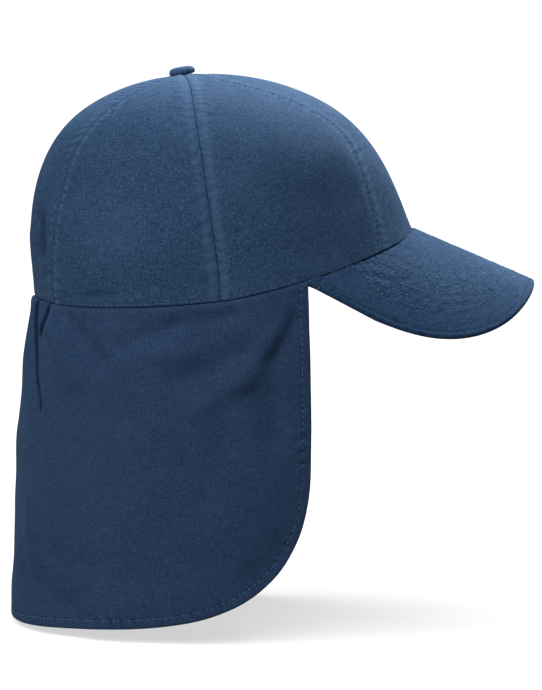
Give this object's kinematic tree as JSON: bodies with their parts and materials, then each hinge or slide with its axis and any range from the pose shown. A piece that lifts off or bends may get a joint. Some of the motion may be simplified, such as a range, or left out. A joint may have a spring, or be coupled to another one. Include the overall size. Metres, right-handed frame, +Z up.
{
  "type": "legionnaire cap",
  "caption": "Navy blue cloth sun cap with a rounded crown, stiff curved peak, covered top button and long neck flap.",
  "frame": {"origin": "middle of the head opening, level with the low back half of the crown rim", "axes": "+X forward over the peak, +Y to the wearer's left, +Z up along the crown"},
  "size_m": [0.2828, 0.1765, 0.2986],
  "materials": {
    "crown_cloth": "brushed navy blue cotton twill with a fine fleck",
    "peak_cloth": "navy blue cotton twill over a stiff peak, in stitched rows",
    "flap_cloth": "navy blue cotton twill, hemmed, hanging soft",
    "button_cloth": "navy blue cotton twill stretched over a button"
  },
  "bodies": {
    "root": {"front_panel": "crown_cloth", "side_front_panel_left": "crown_cloth", "side_back_panel_left": "crown_cloth", "back_panel": "crown_cloth", "side_back_panel_right": "crown_cloth", "side_front_panel_right": "crown_cloth", "peak": "peak_cloth", "neck_flap": "flap_cloth", "top_button": "button_cloth"}
  },
  "joints": []
}
